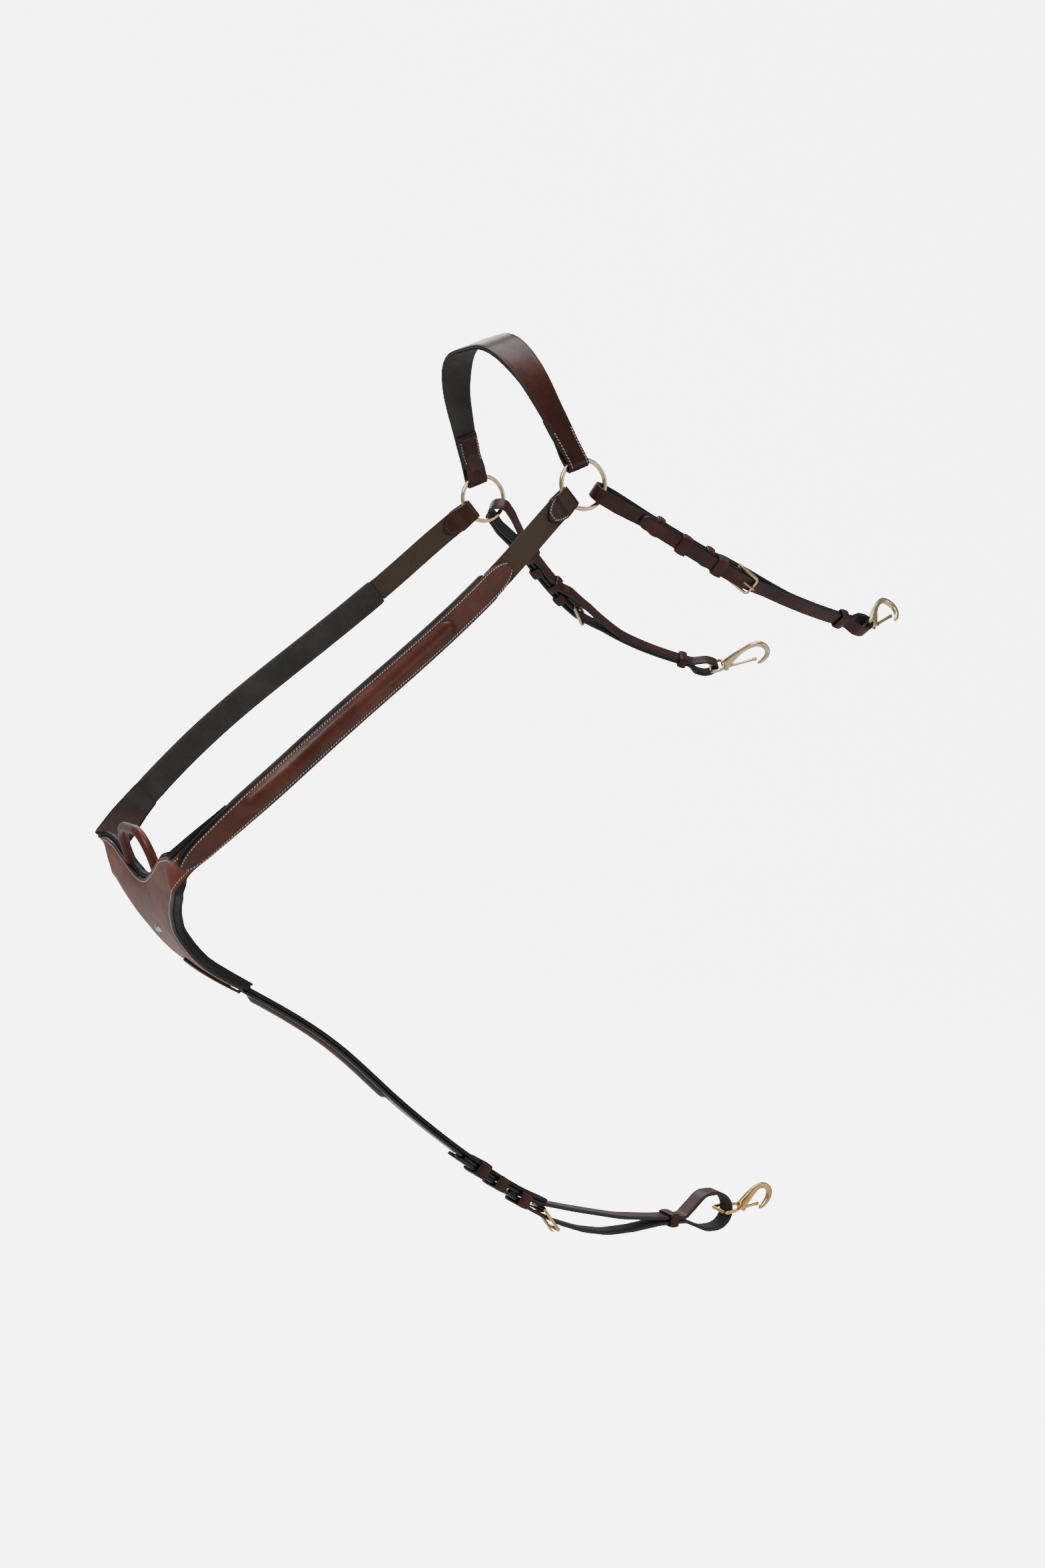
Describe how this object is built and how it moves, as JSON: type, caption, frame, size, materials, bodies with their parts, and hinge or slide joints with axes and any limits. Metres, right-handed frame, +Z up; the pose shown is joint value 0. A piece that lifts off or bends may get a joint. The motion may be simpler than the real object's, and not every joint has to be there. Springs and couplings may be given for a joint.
{
  "type": "horse martingale",
  "caption": "Leather horse martingale: padded chest plate, elastic-ended shoulder straps, a wither strap on two rings, and buckled straps with snap hooks for saddle and girth.",
  "frame": {"origin": "centre of the chest plate's inner face, where it lies on the horse's chest", "axes": "+Z up, +X towards the horse's tail, +Y towards the horse's right side; the left side is at -Y"},
  "size_m": [0.7672, 0.324, 0.9033],
  "materials": {
    "outer_leather": "glossy dyed dark brown, black painted edges, white hand stitching",
    "strap_leather": "semi-gloss dyed dark brown, black edges",
    "lining_leather": "soft matt charcoal",
    "backing_leather": "matt dark brown",
    "elastic": "olive brown woven elastic",
    "filler_cord": "hidden filler",
    "ring_brass": "polished pale brass",
    "buckle_brass": "polished brass",
    "snap_brass": "cast and polished brass",
    "girth_brass": "cast and polished deep gold brass",
    "stud_nickel": "polished nickel",
    "pin_steel": "plain",
    "spring_steel": "plain"
  },
  "bodies": {
    "yoke": {"left_tab": "outer_leather", "left_elastic": "elastic", "left_shoulder_strap": "outer_leather", "left_shoulder_core": "filler_cord", "left_shoulder_lining": "lining_leather", "right_tab": "outer_leather", "right_elastic": "elastic", "right_shoulder_strap": "outer_leather", "right_shoulder_core": "filler_cord", "right_shoulder_lining": "lining_leather", "chest_plate": "outer_leather", "chest_lining": "lining_leather", "chest_backing": "backing_leather", "rolled_loop_core": "filler_cord", "rolled_loop_cover": "outer_leather", "stud": "stud_nickel", "girth_head": "outer_leather"},
    "wither": {"wither_strap": "outer_leather", "wither_lining": "lining_leather"},
    "girth": {"girth_strap": "outer_leather", "girth_core": "filler_cord", "girth_lining": "lining_leather", "girth_adjuster": "strap_leather", "girth_chape": "strap_leather", "girth_keepers": "strap_leather", "girth_buckle": "girth_brass"},
    "girth_slider": {"girth_slider": "strap_leather"},
    "girth_tongue": {"girth_tongue": "girth_brass"},
    "girth_snap": {"girth_snap_hook": "girth_brass", "girth_gate_pin": "pin_steel", "girth_gate_spring": "spring_steel"},
    "girth_gate": {"girth_gate": "girth_brass"},
    "left_ring": {"left_ring": "ring_brass"},
    "left_saddle": {"left_saddle_strap": "strap_leather", "left_buckle": "buckle_brass", "left_small_keepers": "strap_leather", "left_large_keepers": "strap_leather"},
    "left_slider": {"left_slider": "strap_leather"},
    "left_tongue": {"left_tongue": "buckle_brass"},
    "left_snap": {"left_snap_hook": "snap_brass", "left_gate_pin": "pin_steel", "left_gate_spring": "spring_steel"},
    "left_gate": {"left_gate": "snap_brass"},
    "right_ring": {"right_ring": "ring_brass"},
    "right_saddle": {"right_saddle_strap": "strap_leather", "right_buckle": "buckle_brass", "right_small_keepers": "strap_leather", "right_large_keepers": "strap_leather"},
    "right_slider": {"right_slider": "strap_leather"},
    "right_tongue": {"right_tongue": "buckle_brass"},
    "right_snap": {"right_snap_hook": "snap_brass", "right_gate_pin": "pin_steel", "right_gate_spring": "spring_steel"},
    "right_gate": {"right_gate": "snap_brass"}
  },
  "joints": [
    {"name": "left_ring_spin", "type": "hinge", "parent": "yoke", "child": "left_ring", "pos_m": [0.367, -0.11, 0.397], "axis": [0, 1, 0], "continuous": true},
    {"name": "right_ring_spin", "type": "hinge", "parent": "yoke", "child": "right_ring", "pos_m": [0.367, 0.11, 0.397], "axis": [0, 1, 0], "continuous": true},
    {"name": "wither_swing", "type": "hinge", "parent": "yoke", "child": "wither", "pos_m": [0.367, 0, 0.397], "axis": [0, 1, 0], "range_deg": [-35, 30]},
    {"name": "girth_swing", "type": "hinge", "parent": "yoke", "child": "girth", "pos_m": [0.07, 0, -0.0665], "axis": [0, 1, 0], "range_deg": [-25, 32]},
    {"name": "left_saddle_swing", "type": "hinge", "parent": "yoke", "child": "left_saddle", "pos_m": [0.367, -0.11, 0.397], "axis": [0, 1, 0], "range_deg": [-35, 32]},
    {"name": "right_saddle_swing", "type": "hinge", "parent": "yoke", "child": "right_saddle", "pos_m": [0.367, 0.11, 0.397], "axis": [0, 1, 0], "range_deg": [-35, 32]},
    {"name": "left_snap_swing", "type": "hinge", "parent": "left_saddle", "child": "left_snap", "pos_m": [0.66926, -0.13037, 0.2666], "axis": [0.1918, -0.794, 0.5769], "range_deg": [-30, 30]},
    {"name": "left_gate_hinge", "type": "hinge", "parent": "left_snap", "child": "left_gate", "pos_m": [0.68511, -0.12591, 0.26745], "axis": [0.1918, -0.794, 0.5769], "range_deg": [0, 18], "stiffness_Nm_per_rad": 0.05, "springref_deg": -11.46},
    {"name": "left_tongue_hinge", "type": "hinge", "parent": "left_saddle", "child": "left_tongue", "pos_m": [0.51502, -0.13659, 0.3172], "axis": [-0.2975, 0.6491, -0.7001], "range_deg": [0, 65]},
    {"name": "left_slider_slide", "type": "slide", "parent": "left_saddle", "child": "left_slider", "axis": [0.9691, 0.0913, -0.2293], "range_m": [-0.008, 0.003]},
    {"name": "right_snap_swing", "type": "hinge", "parent": "right_saddle", "child": "right_snap", "pos_m": [0.63795, 0.10889, 0.22301], "axis": [-0.3329, -0.7885, -0.5171], "range_deg": [-30, 30]},
    {"name": "right_gate_hinge", "type": "hinge", "parent": "right_snap", "child": "right_gate", "pos_m": [0.65302, 0.10223, 0.22347], "axis": [-0.3329, -0.7885, -0.5171], "range_deg": [0, 18], "stiffness_Nm_per_rad": 0.05, "springref_deg": -11.46},
    {"name": "right_tongue_hinge", "type": "hinge", "parent": "right_saddle", "child": "right_tongue", "pos_m": [0.48858, 0.13784, 0.29041], "axis": [0.4614, 0.6467, 0.6073], "range_deg": [0, 65]},
    {"name": "right_slider_slide", "type": "slide", "parent": "right_saddle", "child": "right_slider", "axis": [0.9283, -0.2496, -0.2757], "range_m": [-0.008, 0.003]},
    {"name": "girth_snap_swing", "type": "hinge", "parent": "girth", "child": "girth_snap", "pos_m": [0.587, 0, -0.3407], "axis": [0, -1, 0], "range_deg": [-30, 30]},
    {"name": "girth_gate_hinge", "type": "hinge", "parent": "girth_snap", "child": "girth_gate", "pos_m": [0.61451, 0, -0.34155], "axis": [0, -1, 0], "range_deg": [0, 18], "stiffness_Nm_per_rad": 0.05, "springref_deg": -11.46},
    {"name": "girth_tongue_hinge", "type": "hinge", "parent": "girth", "child": "girth_tongue", "pos_m": [0.3766, 0, -0.3124], "axis": [0, 1, 0], "range_deg": [0, 65]},
    {"name": "girth_slider_slide", "type": "slide", "parent": "girth", "child": "girth_slider", "axis": [0.9978, 0, -0.0659], "range_m": [-0.004, 0.004]}
  ]
}
